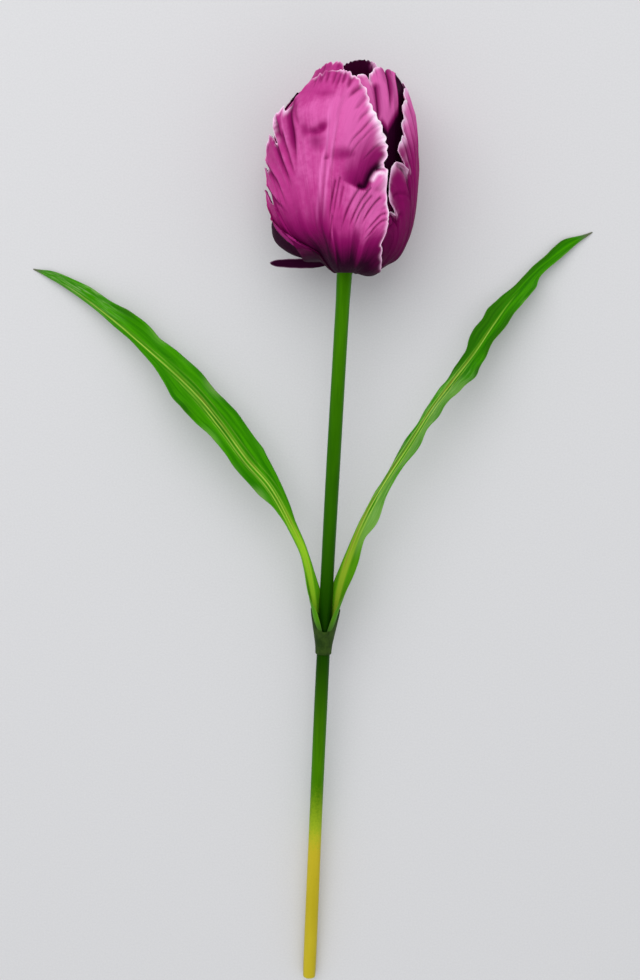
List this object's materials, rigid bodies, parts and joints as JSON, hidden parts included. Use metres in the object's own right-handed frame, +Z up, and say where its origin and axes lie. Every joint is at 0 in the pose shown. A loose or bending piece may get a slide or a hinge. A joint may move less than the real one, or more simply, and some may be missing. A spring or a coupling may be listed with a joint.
{
  "type": "parrot tulip",
  "caption": "Cut parrot tulip lying on its back: a closed fringed pink-purple bloom on a long straight green stem, with arching leaves that spring from a collar halfway up.",
  "frame": {"origin": "Centre of the bounding box's underside, on the surface the flower lies on.", "axes": "+Z up; +Y along the flower from the cut end of the stem to the bloom; +X to the right seen from above, on the side of the narrower leaf."},
  "size_m": [0.342, 0.5644, 0.087],
  "materials": {
    "petal": "soft satin petal tissue, pink-magenta paling to white at the fringe and dark maroon at the base",
    "stem": "smooth satin, green, turning yellow at the cut end",
    "leaf": "satin, green with pale yellow-green veins along it",
    "collar": "matte, dark green",
    "pistil": "satin, pale yellow-green",
    "anther": "matte, powdery, near black"
  },
  "bodies": {
    "root": {"stem": "stem", "leaf_collar": "collar", "leaf_left": "leaf", "leaf_right": "leaf", "tepal_outer_front": "petal", "tepal_outer_right": "petal", "tepal_outer_left": "petal", "tepal_inner_right": "petal", "tepal_inner_back": "petal", "tepal_inner_left": "petal", "pistil": "pistil", "stamen_1": "anther", "stamen_2": "anther", "stamen_3": "anther", "stamen_4": "anther", "stamen_5": "anther", "stamen_6": "anther"}
  },
  "joints": []
}
